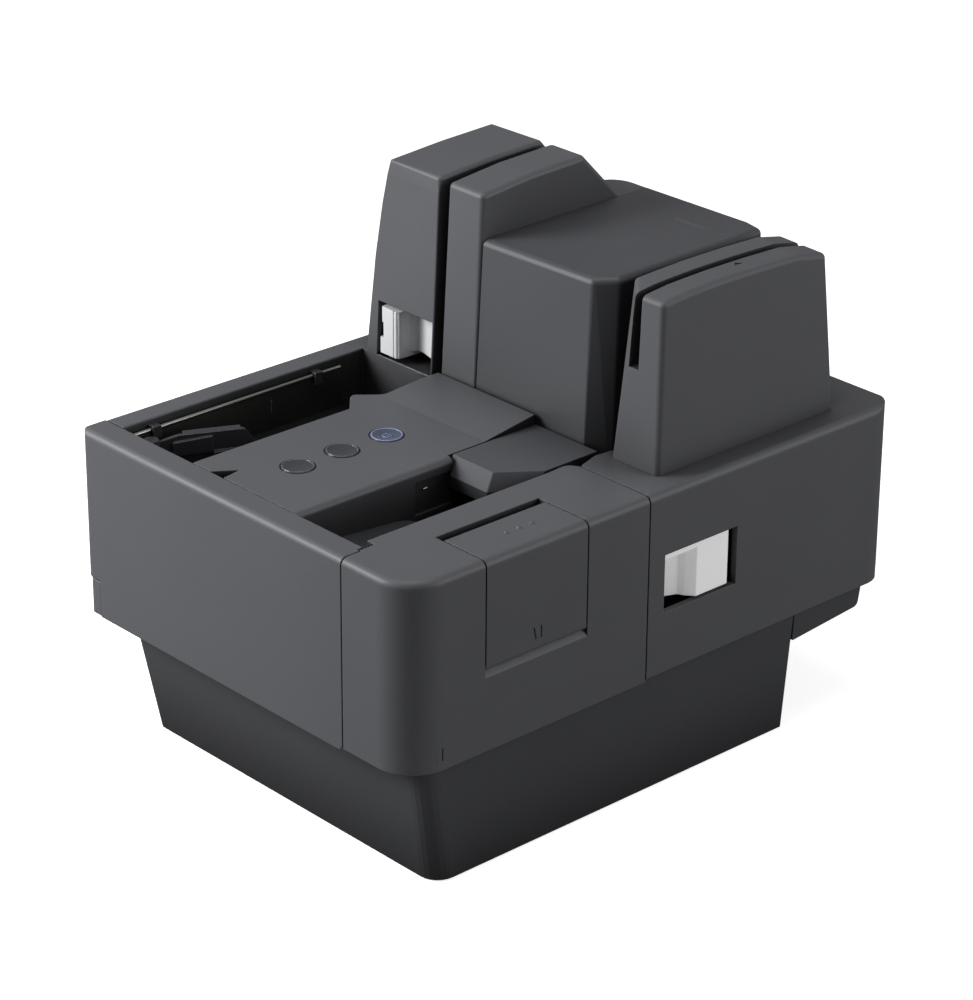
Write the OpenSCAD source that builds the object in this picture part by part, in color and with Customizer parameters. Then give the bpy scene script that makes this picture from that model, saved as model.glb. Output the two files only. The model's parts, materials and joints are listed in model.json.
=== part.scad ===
/* [Overall size] */
// Width of the body, left to right
body_w = 206; // [202:1:212]
// Depth of the body, front to rear
body_d = 276; // [272:1:282]
// Height of the base under the housing
base_h = 56.5; // [50:0.5:64]
// Height of the housing up to its rim
house_h = 82; // [80:1:86]
// Height of the left tower and the narrow tower above the rim
tower_h = 93; // [90:1:96]
// Height of the centre block above the rim
block_h = 70; // [67:1:72]
// Height of the right tower above the rim
swipe_h = 75.7; // [74:0.1:77]

/* [Document track] */
// Width of the slots that a cheque runs through
slot_w = 4.5; // [4.3:0.1:4.9]
// Depth of the track floor below the rim
well_d = 22; // [21:0.5:24]
// Distance of the front of the towers behind the middle of the body
tower_y = 6.5; // [5:0.5:8]
// Diameter of the rubber on the drive rollers
drive_d = 19; // [18:0.2:19.4]
// Diameter of the pinch rollers
pinch_d = 12; // [11:0.2:12.4]

/* [Controls] */
// Diameter of the push buttons
button_d = 14; // [12:0.5:15]
// How far a button goes down
button_travel = 1; // [0.6:0.1:1.2]
// Width of the white right latch lever
lever_w = 38; // [34:1:38]
// How far a latch lever slides
lever_travel = 3.6; // [2:0.2:3.8]

/* [Walls and gaps] */
// Wall of the moulded housing parts
wall = 3; // [2.6:0.1:3.2]
// Gap between neighbouring housing parts
gap = 0.3; // [0.3:0.05:0.4]
// Width of the dark lines between the housing parts
line_w = 0.7; // [0.5:0.1:0.9]
// Radius of the rounded upper edges
edge_r = 3.2; // [2:0.2:3.6]

/* [Hidden] */
$fn = 48;
hx = body_w / 2;
hy = body_d / 2;
rim = base_h + house_h;
floor_z = rim - well_d;
floor_t = 2.5;
plate_t = 3;
seam = 0.25;
corner_drop = 1.2;
panel_drop = 2.4;
far_r = 1;

// Slots: middle of the left one, of the right one and of the one across the rear
slot_l = -44.25;
slot_r = 57.75;
slot_b = hy - 23.75;
half = slot_w / 2;
turn_in = 14;
turn_out = turn_in + slot_w;

// Hopper, island and pocket
bay_x = -hx + 11.2;
panel_front = -hy + 13.2;
island_l = -44.5;
island_r = 21.8;
hood_l = 19.3;
hood_front = -44.5;
lip_x = 58.5;
cover_front = -8.9;
narrow_r = -20.2;
block_r = slot_r - half;

// Vertical shafts
drive_r = drive_d / 2;
pinch_r = pinch_d / 2;
paper = 0.3;
shaft_r = 3;
pin_r = 2;
fit = 0.05;
left_roller_x = slot_l + paper / 2 + drive_r;
right_roller_x = slot_r - paper / 2 - drive_r;
rear_roller_y = slot_b - paper / 2 - drive_r;
feed_at = [left_roller_x, tower_y - 12.5];
pickup_at = [-45.6, tower_y - 37.5];
pickup_r = 8;
retard_r = 6;
retard_at = [slot_l - paper / 2 - retard_r, tower_y - 12.5];
rear_l = -7.5;
rear_r = 35;
drive_at = [[left_roller_x, 30], [rear_l, rear_roller_y], [rear_r, rear_roller_y], [right_roller_x, 45]];
pinch_at = [
    [slot_l - paper / 2 - pinch_r, 30], [rear_l, slot_b + paper / 2 + pinch_r],
    [rear_r, slot_b + paper / 2 + pinch_r], [slot_r + paper / 2 + pinch_r, 45]
];
high_z = rim + 4.5;
high_l = 26;
low_z = rim + 3.2;
low_l = 20;
roller_z = [high_z, low_z, low_z, high_z];
roller_l = [high_l, low_l, low_l, high_l];
shelf_gap = 3;
shelf_t = 2.8;
pulley_z = base_h + 14;
pulley_r = 9;
motor_at = [6.75, 2];
motor_pulley_r = 6;
belt_t = 1.2;
feed_pulley_z = base_h + 26;
feed_pulley_r = 6;

// Image sensors: front and rear edge of each
sensor_l = [slot_b - 56.25, slot_b - 42.25];
sensor_c = [slot_b - 39.25, slot_b - 27.25];
sensor_top = floor_z + 91;
head_y = [53, 59];

// Hinges of the two covers
post_x0 = 1;
post_x1 = 15;
knuckle_r = 5;
knuckle_y = hy - knuckle_r;
hinge_l = post_x0 - gap - knuckle_r;
hinge_r = post_x1 + gap + knuckle_r;
hinge_pin_r = 2.5;
rear_guide_top = rim + 46;
knuckle_z0 = base_h + 12;

// Imprinter cover and its hinge
print_y0 = -hy + 40.4;
print_y1 = -hy + 94.2;
print_x = 78;
print_pin = [hx - 1.5, base_h + 36];
finger_w = 4.4;

// Latch lever windows
lever_y0 = 0;
lever_z0 = base_h + 27.2;
lever_z1 = base_h + 53.4;
left_win_x0 = -82.5;
left_win_x1 = slot_l - half - 0.8;
left_win_h = 25;
ledge_drop = 1.6;

// Card slot in the right tower
card_x = 75.1;
card_w = 4.2;
card_flare = 1.3;
card_floor = base_h + 124;

// Rear faces of the two side towers
left_back = slot_b - half - 4;
right_back = slot_b - half;

// Outline with rounded corners: each point is [x, y, radius], and the steps of an arc are 6
function unit(v) = v / norm(v);
function turn(p, c) = atan2(p.y - c.y, p.x - c.x);
function arc(a, b, c, r) =
    let (
        u = unit([a.x - b.x, a.y - b.y]), w = unit([c.x - b.x, c.y - b.y]),
        h = acos(u * w) / 2, m = [b.x, b.y] + unit(u + w) * r / sin(h),
        s = turn([b.x, b.y] + u * r / tan(h), m), e = turn([b.x, b.y] + w * r / tan(h), m),
        d = e - s > 180 ? e - s - 360 : (e - s < -180 ? e - s + 360 : e - s)
    )
    [for (i = [0:6]) m + r * [cos(s + d * i / 6), sin(s + d * i / 6)]];
function rounded(p) =
    [for (i = [0:len(p) - 1])
        let (b = p[i], n = len(p))
        each (b[2] > 0 ? arc(p[(i + n - 1) % n], b, p[(i + 1) % n], b[2]) : [[b.x, b.y]])];

// Prisms whose outline is drawn in plan, in side view [y, z] and in front view [x, z]
module plan(p, z0, z1) translate([0, 0, z0]) linear_extrude(z1 - z0) polygon(rounded(p));
module side(p, x0, x1) translate([x0, 0, 0]) rotate([90, 0, 90]) linear_extrude(x1 - x0) polygon(rounded(p));
module front(p, y0, y1) translate([0, y1, 0]) rotate([90, 0, 0]) linear_extrude(y1 - y0) polygon(rounded(p));
module box(a, b) translate(a) cube(b - a);
module rod(p, r, z0, z1) translate([p.x, p.y, z0]) cylinder(r = r, h = z1 - z0);

// Blocks with soft edges, as the hull of balls at the top and discs at the bottom
module balls(p, r) for (q = p) translate(q) sphere(r = r, $fn = 20);
module discs(p, r, z) for (q = p) translate([q.x, q.y, z]) cylinder(r = r, h = 0.1, $fn = 16);

// Base and feet
tray_x0 = -hx + 22;
tray_x1 = hx - 5.5;
tray_y0 = -hy + 19;
tray_y1 = hy - 57.8;
tray_z = 0.6;
foot_r = 8;
foot_at = [
    [tray_x0 + 16, tray_y0 + 16], [tray_x1 - 16, tray_y0 + 16],
    [tray_x0 + 16, tray_y1 - 16], [tray_x1 - 16, tray_y1 - 16]
];
inlet_x = -28;
inlet_size = [15, 13];
port_x = 6;
port_size = [12, 11];
socket_z = 30;

// Block of a socket, and with a gap round it the opening that it sits in
module socket(x, size, y0, y1, g)
    box([x - size.x / 2 - g, y0, socket_z - size.y / 2 - g], [x + size.x / 2 + g, y1, socket_z + size.y / 2 + g]);

// The base widens upward: its outline d inside the walls, at the foot and at the top
function tray_outline(d, left, right, front, back) = [
    [tray_x0 - left + d, tray_y0 - front + d, max(0.8, 2.5 - d)],
    [tray_x1 + right - d, tray_y0 - front + d, 9 - d],
    [tray_x1 + right - d, tray_y1 + back - d, 0.8],
    [tray_x0 - left + d, tray_y1 + back - d, max(0.8, 2.5 - d)]];

module tray_block(d, z0, z1)
    hull() {
        plan(tray_outline(d, 0, 0, 0, 0), z0, z0 + 0.1);
        plan(tray_outline(d, 5.7, 2, 9, 3.2), z1 - 0.1, z1);
    }

module base_tray()
    color("#2b2b2e") difference() {
        tray_block(0, tray_z, base_h);
        tray_block(wall, tray_z + wall, base_h + 1);
        for (p = foot_at) rod(p, foot_r + 0.2, 0, 3);
        socket(inlet_x, inlet_size, tray_y1 - 10, tray_y1 + 10, gap);
        socket(port_x, port_size, tray_y1 - 10, tray_y1 + 10, gap);
    }

module foot(i) color("#1c1c1c") rod(foot_at[i], foot_r, 0, 3);
module foot_front_left() foot(0);
module foot_front_right() foot(1);
module foot_rear_left() foot(2);
module foot_rear_right() foot(3);

// Chassis: a plate on the base and a skirt that overhangs behind it
skirt_y0 = tray_y1 + 3.3;
skirt_lean = 0.8;
skirt_y1 = hy - 14.4;
skirt_h = 14.6;
skirt_rise = 3.3;
plate_y1 = hy - 11;

module chassis_plate()
    color("#333337") {
        difference() {
            plan([[-hx + wall + 0.7, -hy + wall + 0.7, 3], [hx - wall - 0.7, -hy + wall + 0.7, corner_r - wall],
                  [hx - wall - 0.7, plate_y1, 3], [-hx + wall + 0.7, plate_y1, 3]], base_h, base_h + plate_t);
            for (x = [-1, 1])
                box([x * 60 - 20, -hy + 38, base_h - 1], [x * 60 + 20, -hy + 98, base_h + plate_t + 1]);
            rod(motor_at, 19, base_h - 1, base_h + plate_t + 1);
            rod(feed_at, 15, base_h - 1, base_h + plate_t + 1);
        }
        difference() {
            side([[skirt_y0 - skirt_lean, base_h - skirt_h, 0.5], [skirt_y1, base_h - skirt_h + skirt_rise, 3],
                  [skirt_y1 + 2, base_h, 0], [skirt_y0, base_h, 0]], -hx + 17, hx - 3.6);
            side([[skirt_y0 + wall, base_h - skirt_h + wall + 0.3, 0],
                  [skirt_y1 - wall, base_h - skirt_h + skirt_rise + wall, 1], [skirt_y1 - wall + 2, base_h, 0],
                  [skirt_y0 + wall, base_h, 0]], -hx + 20, hx - 6.6);
            box([hx - 40, skirt_y1 - 6, base_h - 9], [hx - 32, skirt_y1 + 1, base_h - 5]);
        }
    }

// Front panel: front face, rim and the wall behind the hopper and the pocket
panel_x1 = 63.4;
tab_w = 8.3;
tab_h = 14;
tab_in = 0.6;
panel_z0 = base_h - panel_drop;

module front_panel()
    color("#4a4b4f") difference() {
        intersection() {
            side([[-hy, panel_z0, 0], [-hy, rim, edge_r], [panel_front, rim, 0.8],
                  [panel_front, floor_z - floor_t, 0], [panel_front - 2.5, floor_z - floor_t, 0],
                  [panel_front - 2.5, rim - wall, 0], [-hy + wall, rim - wall, 1], [-hy + wall, panel_z0, 0]],
                 -hx, panel_x1);
            plan([[-hx, -hy, 3.5], [panel_x1, -hy, 0], [panel_x1, 0, 0], [-hx, 0, 0]], panel_z0, rim);
            front([[-hx, panel_z0, 0], [panel_x1, panel_z0, 3], [panel_x1, rim, 0], [-hx, rim, 0]], -hy, 0);
        }
        box([-hx - 1, -hy - 1, panel_z0 - 1], [-hx + tab_w + line_w, panel_front + 1, base_h + tab_h + line_w]);
        box([lip_x + 3.3, panel_front - 3.5, base_h - 1], [panel_x1 + 1, panel_front + 1, rim + 1]);
    }

module left_wall()
    color("#4a4b4f") {
        front([[-hx, base_h, 0], [-hx, rim, far_r], [bay_x, rim, 0.8], [bay_x, floor_z - floor_t, 0],
               [bay_x - 2.2, floor_z - floor_t, 0], [bay_x - 2.2, rim - wall, 0], [-hx + wall, rim - wall, 0],
               [-hx + wall, base_h, 0]], panel_front + seam, tower_y - 1.5);
        difference() {
            intersection() {
                plan([[-hx + tab_in, -hy + tab_in, 3], [-hx + tab_w, -hy + tab_in, 0.6],
                      [-hx + tab_w, panel_front + wall, 0], [-hx + tab_in, panel_front + wall, 0]],
                     panel_z0, base_h + tab_h);
                side([[-hy, panel_z0, 0], [-hy, base_h + tab_h, 2.5], [panel_front + wall, base_h + tab_h, 0],
                      [panel_front + wall, panel_z0, 0]], -hx, hx);
            }
            box([-hx + wall, -hy + wall, panel_z0 - 1],
                [-hx + tab_w + 1, panel_front + wall + 1, base_h + tab_h + 1]);
        }
    }

// Right front housing with the opening for the imprinter cover
corner_r = 18;
corner_x0 = panel_x1 + line_w;
corner_z0 = base_h - corner_drop;

module corner_skin(inset, drop, r)
    // Rounded edge swept along the front, round the corner and along the right side
    let (
        top = rim - drop, x1 = hx - inset, y0 = -hy + inset, cr = corner_r - inset,
        edge = [[0, corner_z0 - 1 + inset / 3, 0], [cr, corner_z0 - 1 + inset / 3, 0], [cr, top, r], [0, top, 0]]
    ) {
        translate([x1 - cr, y0 + cr, 0]) rotate([0, 0, -90]) rotate_extrude(angle = 90) polygon(rounded(edge));
        side([[y0, corner_z0 - 1 + inset / 3, 0], [y0, top, r], [y0 + cr, top, 0],
              [y0 + cr, corner_z0 - 1 + inset / 3, 0]], corner_x0 - 1, x1 - cr);
        front([[lip_x - 1, corner_z0 - 1 + inset / 3, 0], [x1, corner_z0 - 1 + inset / 3, 0], [x1, top, r],
               [lip_x - 1, top, 0]], y0 + cr, cover_front + 1);
    }

// Two shallow grooves, one upright and one leaning, that mark where to pull
module grip_marks(y, z)
    for (s = [[0, 12], [2.8, 0]])
        translate([hx - 0.4, y + s.x, z]) rotate([s.y, 0, 0]) cube([1, 0.7, 5.5]);

module corner_housing()
    color("#4a4b4f") {
        difference() {
            intersection() {
                corner_skin(0, 0, edge_r);
                plan([[corner_x0, -hy - 1, 0], [hx + 1, -hy - 1, 0], [hx + 1, cover_front - line_w, 0],
                      [62.3, cover_front - line_w, 1], [lip_x - 0.7, cover_front - 3.8, 5],
                      [lip_x, cover_front - 15, 0], [lip_x, panel_front + 3.8, 0],
                      [lip_x + 3.4, panel_front + 2.3, 0], [lip_x + 3.4, panel_front - 3, 0],
                      [corner_x0, panel_front - 3, 0]],
                     corner_z0, rim);
            }
            difference() {
                corner_skin(wall, wall, 1);
                box([lip_x - 3, -hy, 0], [lip_x + 2.5, cover_front + 2, rim + 1]);
                box([corner_x0, -hy, 0], [corner_x0 + 2, panel_front + 1, rim + 1]);
                box([lip_x, cover_front - 2.8, base_h + 5], [hx, cover_front + 2, rim + 1]);
            }
            box([print_x - finger_w, print_y0 - line_w, floor_z - 2], [hx + 1, print_y1 + line_w, rim + 1]);
            box([hx - 8, print_y0 - line_w, print_pin.y - 1.8], [hx + 1, print_y1 + line_w, rim]);
            front([[hx - 2, print_pin.y - 1.9, 0], [hx + 0.1, print_pin.y - 4.6, 0], [hx + 0.1, print_pin.y - 1.7, 0],
                   [hx - 2, print_pin.y - 1.7, 0]], print_y0 - line_w, print_y1 + line_w);
            box([lip_x - 3, print_y0 + 7.6, floor_z + 2], [lip_x + 3, print_y0 + 21.6, floor_z + 14]);
            box([lip_x - 1, -hy, base_h - 3], [lip_x + 3, cover_front, floor_z - floor_t]);
            box([lip_x - 3, cover_front - 21, base_h], [lip_x + 0.1, cover_front, floor_z + 0.3]);
            box([lip_x - 3, -hy + wall, base_h - 3], [corner_x0 + 3, cover_front, base_h + plate_t + 0.5]);
            for (y = [print_y0 - 2.7, print_y1 - 0.3])
                translate([print_pin.x, y, print_pin.y]) rotate([-90, 0, 0]) cylinder(r = 1.2 + fit, h = 3);
            grip_marks(-hy + 14.5, base_h + 3);
        }
        // Holder of the cartridge
        difference() {
            box([lip_x + 2.4, print_y0 + 3.6, floor_z], [84, print_y0 + 27.6, floor_z + 16]);
            box([lip_x + 2, print_y0 + 6, floor_z + 2], [81.6, print_y0 + 25.2, floor_z + 17]);
        }
    }

module document_floor()
    color("#3a3a3d") {
        difference() {
            union() {
                box([bay_x, panel_front, floor_z - floor_t], [lip_x, tower_y - 1.5, floor_z]);
                plan([[slot_l - 8, tower_y - 1.5, 0], [slot_r + 8, tower_y - 1.5, 0], [slot_r + 8, slot_b + 8, 20],
                      [slot_l - 8, slot_b + 8, 20]], floor_z - floor_t, floor_z);
            }
            for (p = drive_at) rod(p, shaft_r + fit, floor_z - 9, floor_z + 1);
            for (p = [feed_at, pickup_at]) rod(p, shaft_r + fit, floor_z - 9, floor_z + 1);
            box([block_r - 20, slot_b - 54, floor_z - 9], [block_r - 8, slot_b - 18, floor_z + 1]);
        }
        for (p = [[-84, panel_front + 14.8], [-84, tower_y - 16.5], [44, panel_front + 6.8], [58, slot_b - 28.25],
                  [-42, slot_b - 28.25], [motor_at.x, slot_b - 54.25]])
            rod(p, 4, base_h + plate_t, floor_z - floor_t);
        rod(retard_at, pin_r, floor_z, floor_z + 16.5);
        for (p = drive_at)
            difference() {
                rod(p, shaft_r + 2.5, floor_z - floor_t - 5, floor_z - floor_t);
                rod(p, shaft_r + fit, floor_z - 9, floor_z);
            }
    }

// Island between the hopper and the pocket
bump = [[-53.6, tower_y - 39.9, 1.5], [-55, tower_y - 36.9, 2], [-46, tower_y - 26.3, 1]];
ramp_y = tower_y - 28.5;
ramp_h = 4.3;
island_y1 = tower_y - 0.3;
button_at = [[-13.5, panel_front + 29.5], [-13.6, panel_front + 53.1], [-13.5, panel_front + 77.2]];
button_hole = button_d / 2 + 0.6;
hood_cut = hood_front + 1.9;

function island(d) = concat(
    [[island_l + d, panel_front + d, 0], [island_l + d, tower_y - 47.9 + d / 2, 0]],
    d > 0 ? [] : bump,
    [[-43.9 + d, tower_y - 7.5, 0], [slot_l + half + 0.2 + d, island_y1 - d, 0],
     [island_r - 3.3 - d, island_y1 - d, 0], [island_r - 3.3 - d, hood_cut, 0], [island_r - d, hood_cut, 0],
     [island_r - d, panel_front + d, 0]]);

module control_panel()
    color("#4a4b4f") difference() {
        intersection() {
            plan(island(0), floor_z, rim + ramp_h + 1);
            side([[panel_front, floor_z, 0], [island_y1 + 1, floor_z, 0], [island_y1 + 1, rim + ramp_h, 0],
                  [ramp_y, rim, 0], [panel_front, rim, 0]], -60, 30);
            union() {
                front([[-60, floor_z, 0], [island_r, floor_z, 0], [island_r, rim, 2.6], [-60, rim, 0]],
                      panel_front, hood_cut);
                box([-60, hood_cut, floor_z], [island_r, island_y1, rim + ramp_h + 1]);
            }
        }
        plan(island(2.2), floor_z - 1, rim - 2.6);
        // Space for the pickup roller under the bump, and windows for both feed rollers
        box([-60, pickup_at.y - 13, floor_z - 1], [island_l + 0.1, pickup_at.y + 13, rim - 2.6]);
        box([island_l - 1, pickup_at.y - 11, floor_z - 1], [-40, pickup_at.y + 11, rim - 2.6]);
        box([island_l - 2, feed_at.y - 8, floor_z - 1], [-40, feed_at.y + 8, rim - 2.6]);
        for (p = button_at) rod(p, button_hole, rim - 9, rim + 2);
        plan([[-33.5, panel_front - 1, 0], [-24.4, panel_front - 1, 0], [-26.3, panel_front + 9.6, 0.4]],
             rim - 5, rim + 1);
        // Shallow recess in the wall of the pocket, in front of the hood
        box([island_r - 1.2, hood_front - 18.4, floor_z + 2], [island_r + 1, hood_cut + 0.1, rim - 5.5]);
    }

module exit_hood()
    color("#4a4b4f") difference() {
        hull() {
            plan([[hood_l, -40, 0], [43.4, -40, 1], [56.3, -23, 1], [56.3, island_y1, 0], [hood_l, island_y1, 0]],
                 rim - 0.1, rim);
            plan([[hood_l, hood_front, 0], [44.6, hood_front, 1], [56.3, -29, 1], [56.3, island_y1, 0],
                  [hood_l, island_y1, 0]], rim - 14, rim - 7.3);
        }
        box([hood_l - 1, hood_front - 1, rim - 15], [island_r + 0.3, hood_cut + 0.3, rim + 1]);
        plan([[hood_l - 1, hood_front - 1, 0], [42.4, hood_front - 1, 0], [53.6, -28.3, 0], [53.6, island_y1 + 1, 0],
              [hood_l - 1, island_y1 + 1, 0]], rim - 15, rim - 12.5);
        plan([[hood_l + 2.4, -35, 0], [41.5, -35, 0], [53.6, -19, 0], [53.6, island_y1 - 2.4, 0],
              [hood_l + 2.4, island_y1 - 2.4, 0]], rim - 15, rim - 2.6);
    }

// Sloping floor of the pocket, higher at the front, with a step at its end
pocket_rise = 7;
pocket_end = [hood_front - 21.5, 2.4];

module pocket_floor()
    color("#3a3a3d") intersection() {
        side([[panel_front, floor_z, 0], [pocket_end.x, floor_z, 0], [pocket_end.x, floor_z + pocket_end.y, 1],
              [panel_front, floor_z + pocket_rise, 0]], island_r + 0.2, lip_x - 0.1);
        plan([[island_r + 0.2, panel_front, 0], [lip_x - 0.1, panel_front, 0], [lip_x - 0.1, pocket_end.x, 2],
              [island_r + 0.2, pocket_end.x, 8]], floor_z, floor_z + pocket_rise);
    }

// Narrow tower between the left slot and the centre block: it slopes down behind its peak
peak_y = 69;
slope_y = 92;
tower_lean = 4.5;
lid_back = 3.3;

module scan_tower_solid(inset, z0)
    let (x0 = slot_l + half + inset, x1 = narrow_r - inset, y1 = slot_b - half - inset) {
        hull() {
            balls([for (x = [x0 + 2.5, x1 - 2.5], q = [[tower_y + tower_lean + 3, -3.6], [40, -1], [peak_y, 0]])
                [x, q.x + (q.x < 20 ? inset : 0), rim + tower_h - 2.5 + q.y - inset]], 2.5);
            discs([for (x = [x0 + 2.5, x1 - 2.5]) [x, slope_y - 2.5 - inset]], 2.5, rim + block_h - inset);
            plan([[x0, tower_y + inset, 0.8], [x1, tower_y + inset, 0.8], [x1, slope_y - inset, 0],
                  [x0, slope_y - inset, 0]], z0, z0 + 0.1);
        }
        hull() {
            for (s = [[0, -1.8], [0.5, -0.5], [1.7, 0]])
                plan([[x0 + s.x, 60, 0], [x1, 60, 0], [x1, y1 - lid_back - s.x, 0],
                      [x0 + s.x, y1 - lid_back - s.x, 12]],
                     rim + block_h + s.y - inset - 0.1, rim + block_h + s.y - inset);
            plan([[x0, 60, 0], [x1, 60, 0], [x1, y1, 0], [x0, y1, turn_in]], z0, z0 + 0.1);
        }
    }

// Shelf inside the housing that holds the upper end of a drive shaft
module shaft_shelf(i)
    let (z = roller_z[i] + roller_l[i] + shelf_gap, p = drive_at[i])
    difference() {
        box([p.x - 14, p.y - 16, z], [p.x + 14, p.y + 16, z + shelf_t]);
        rod(p, shaft_r + fit, z - 1, z + shelf_t + 1);
    }

module scan_tower()
    color("#46474b") difference() {
        scan_tower_solid(0, floor_z);
        difference() {
            scan_tower_solid(2.5, floor_z - 1);
            shaft_shelf(0);
        }
        box([-50, drive_at[0].y - drive_r - 0.5, high_z - 1],
            [-38, drive_at[0].y + drive_r + 0.5, high_z + high_l + 1]);
        box([-50, head_y.x - gap, floor_z + 3], [-38, head_y.y + gap, floor_z + 14 + gap]);
        box([-50, sensor_c.x - gap, floor_z + 1], [-38, sensor_c.y + gap, sensor_top + gap]);
    }

// Centre block, with a bevel where the right slot opens: its lid rises a little to the right,
// and its right side leans away from the slot
lid_rise = 1.8;
side_lean = 2.8;

module centre_block_solid(inset, z0)
    let (b = block_r - inset, r = 3, lid = b - r - side_lean, top = rim + block_h - r - inset,
         f = tower_y + 0.3 + inset, back = slot_b - half - inset) {
        hull() {
            balls([[narrow_r - 8, f + tower_lean + 0.4 + r, top - 0.8],
                   [44 - inset, f + tower_lean + 0.4 + r, top - 0.8 + lid_rise],
                   [lid, f + 15, top - 0.6 + lid_rise], [lid, back - 22, top + lid_rise],
                   [lid - 8, back - 7.5, top + lid_rise], [narrow_r - 8, back - 5.5, top]], r);
            plan([[narrow_r - 10, f, 0], [46.8 - inset, f, 0.5], [b, f + 8.4, 0.5],
                  [b, back, turn_in], [narrow_r - 10, back, 0]], z0, z0 + 0.1);
        }
        // Square rear corner of the lid, above the turn of the track
        hull()
            balls([for (z = [top - 8, top + lid_rise], q = [[lid, back - 24], [lid - 1, back - 9],
                [lid - 8, back - 7.5], [lid - 30, back - 24]]) [q.x, q.y, z]], r);
    }

module centre_block()
    color("#46474b") difference() {
        intersection() {
            centre_block_solid(0, floor_z);
            box([narrow_r + seam, 0, floor_z - 1], [hx, hy, rim + tower_h]);
        }
        difference() {
            intersection() {
                centre_block_solid(2.5, floor_z - 1);
                box([narrow_r + seam + 2.5, 0, floor_z - 2], [hx, hy, rim + tower_h]);
            }
            for (i = [1, 2, 3]) shaft_shelf(i);
        }
        for (i = [1, 2])
            box([drive_at[i].x - drive_r - 0.5, slot_b - half - 8, low_z - 1],
                [drive_at[i].x + drive_r + 0.5, slot_b, low_z + low_l + 1]);
        for (i = [1, 2]) rod(drive_at[i], shaft_r + fit, low_z, low_z + low_l + shelf_gap + shelf_t + 1.2);
        box([block_r - 8, drive_at[3].y - drive_r - 0.5, high_z - 1],
            [block_r + 4, drive_at[3].y + drive_r + 0.5, high_z + high_l + 1]);
    }

// Rear post between the two covers, with the lugs that hold the hinge pins
module rear_post()
    color("#46474b") difference() {
        union() {
            box([post_x0, slot_b + half + 0.1, floor_z + 0.4], [post_x1, hy - 0.6, rear_guide_top]);
            box([post_x0, slot_b + half + 10, base_h + plate_t], [post_x1, hy - 0.6, floor_z + 0.4]);
            box([post_x0, plate_y1 - 6, base_h + plate_t], [post_x1, plate_y1 + 1, base_h + plate_t + 3]);
            for (z = [knuckle_z0 + 12.3, knuckle_z0 + 40.3])
                box([hinge_l, knuckle_y - 3.2, z], [hinge_r, knuckle_y + 3.2, z + 7.4]);
            for (z = [knuckle_z0 + 12.3, knuckle_z0 + 40.3], x = [hinge_l, hinge_r])
                translate([x, knuckle_y, z]) cylinder(r = knuckle_r - 0.4, h = 7.4);
        }
        box([post_x0 + 2.5, slot_b + half + 3, floor_z + 6], [post_x1 - 2.5, hy + 1, rear_guide_top - 4]);
        for (x = [hinge_l, hinge_r]) rod([x, knuckle_y], hinge_pin_r, base_h, rim);
    }

module left_hinge_pin() color("#b8bcc0") rod([hinge_l, knuckle_y], hinge_pin_r, knuckle_z0 + 1, knuckle_z0 + 59);
module right_hinge_pin() color("#b8bcc0") rod([hinge_r, knuckle_y], hinge_pin_r, knuckle_z0 + 1, knuckle_z0 + 59);

// Steel plate that the cheques lean on in the hopper, with its clips
strip_x = bay_x + 1.4;
strip_y0 = panel_front + 2.5;
strip_y1 = tower_y - 15;
strip_top = rim - 3.2;
bead_r = 0.9;

module guide_plate()
    color("#c9c8c0") {
        box([strip_x, strip_y0, floor_z + 0.2], [strip_x + 1, strip_y1, strip_top - bead_r]);
        translate([strip_x + 0.5, strip_y0, strip_top - bead_r]) rotate([-90, 0, 0])
            cylinder(r = bead_r, h = strip_y1 - strip_y0);
    }

module clip(y)
    color("#151515") {
        box([bay_x, y - 2, strip_top], [strip_x + 2.6, y + 2, strip_top + 0.9]);
        box([strip_x + 0.5 + bead_r, y - 2, strip_top - 4.6], [strip_x + 2.6, y + 2, strip_top]);
    }
module front_clip() clip(panel_front + 15);
module rear_clip() clip(tower_y - 28.4);

// Boards, connectors and motors
board_z = rim - 12.5;
switch_h = 2.6;
stem_gap = 0.1;

module button_board()
    color("#1f4d2b") {
        box([-24, button_at[0].y - 12.7, board_z], [-3, button_at[2].y + 11.6, board_z + 1.6]);
        for (x = [-21, -6], y = [button_at[0].y - 8.7, button_at[2].y + 7.6]) rod([x, y], 2.5, floor_z, board_z);
        for (p = button_at) box([p.x - 3, p.y - 3, board_z + 1.6], [p.x + 3, p.y + 3, board_z + 1.6 + switch_h]);
    }

module main_board()
    color("#1f4d2b") {
        box([-52, tray_y0 + 49, 12], [60, tray_y1 - 39, 13.6]);
        for (x = [-48, 56], y = [tray_y0 + 53, tray_y1 - 43]) rod([x, y], 3, tray_z + wall, 12);
        box([-20, -30, 13.6], [10, 0, 16]);
        box([22, -50, 13.6], [46, -40, 22]);
        for (x = [-40, -30]) rod([x, 20], 4, 13.6, 26);
    }

module power_inlet()
    color("#161616") {
        difference() {
            socket(inlet_x, inlet_size, tray_y1 - 16, tray_y1 - 1.2, 0);
            translate([inlet_x, tray_y1 - 12, socket_z]) rotate([-90, 0, 0]) cylinder(r = 3.3, h = 14);
        }
        translate([inlet_x, tray_y1 - 13, socket_z]) rotate([-90, 0, 0]) cylinder(r = 1, h = 10);
    }

module data_port()
    color("#a9adb2") {
        difference() {
            socket(port_x, port_size, tray_y1 - 17, tray_y1 - 1.2, 0);
            box([port_x - 4.4, tray_y1 - 12, socket_z - 4], [port_x + 4.4, tray_y1, socket_z + 4]);
        }
        box([port_x - 2.8, tray_y1 - 13, socket_z - 1.6], [port_x + 2.8, tray_y1 - 3, socket_z + 1.6]);
    }

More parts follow.
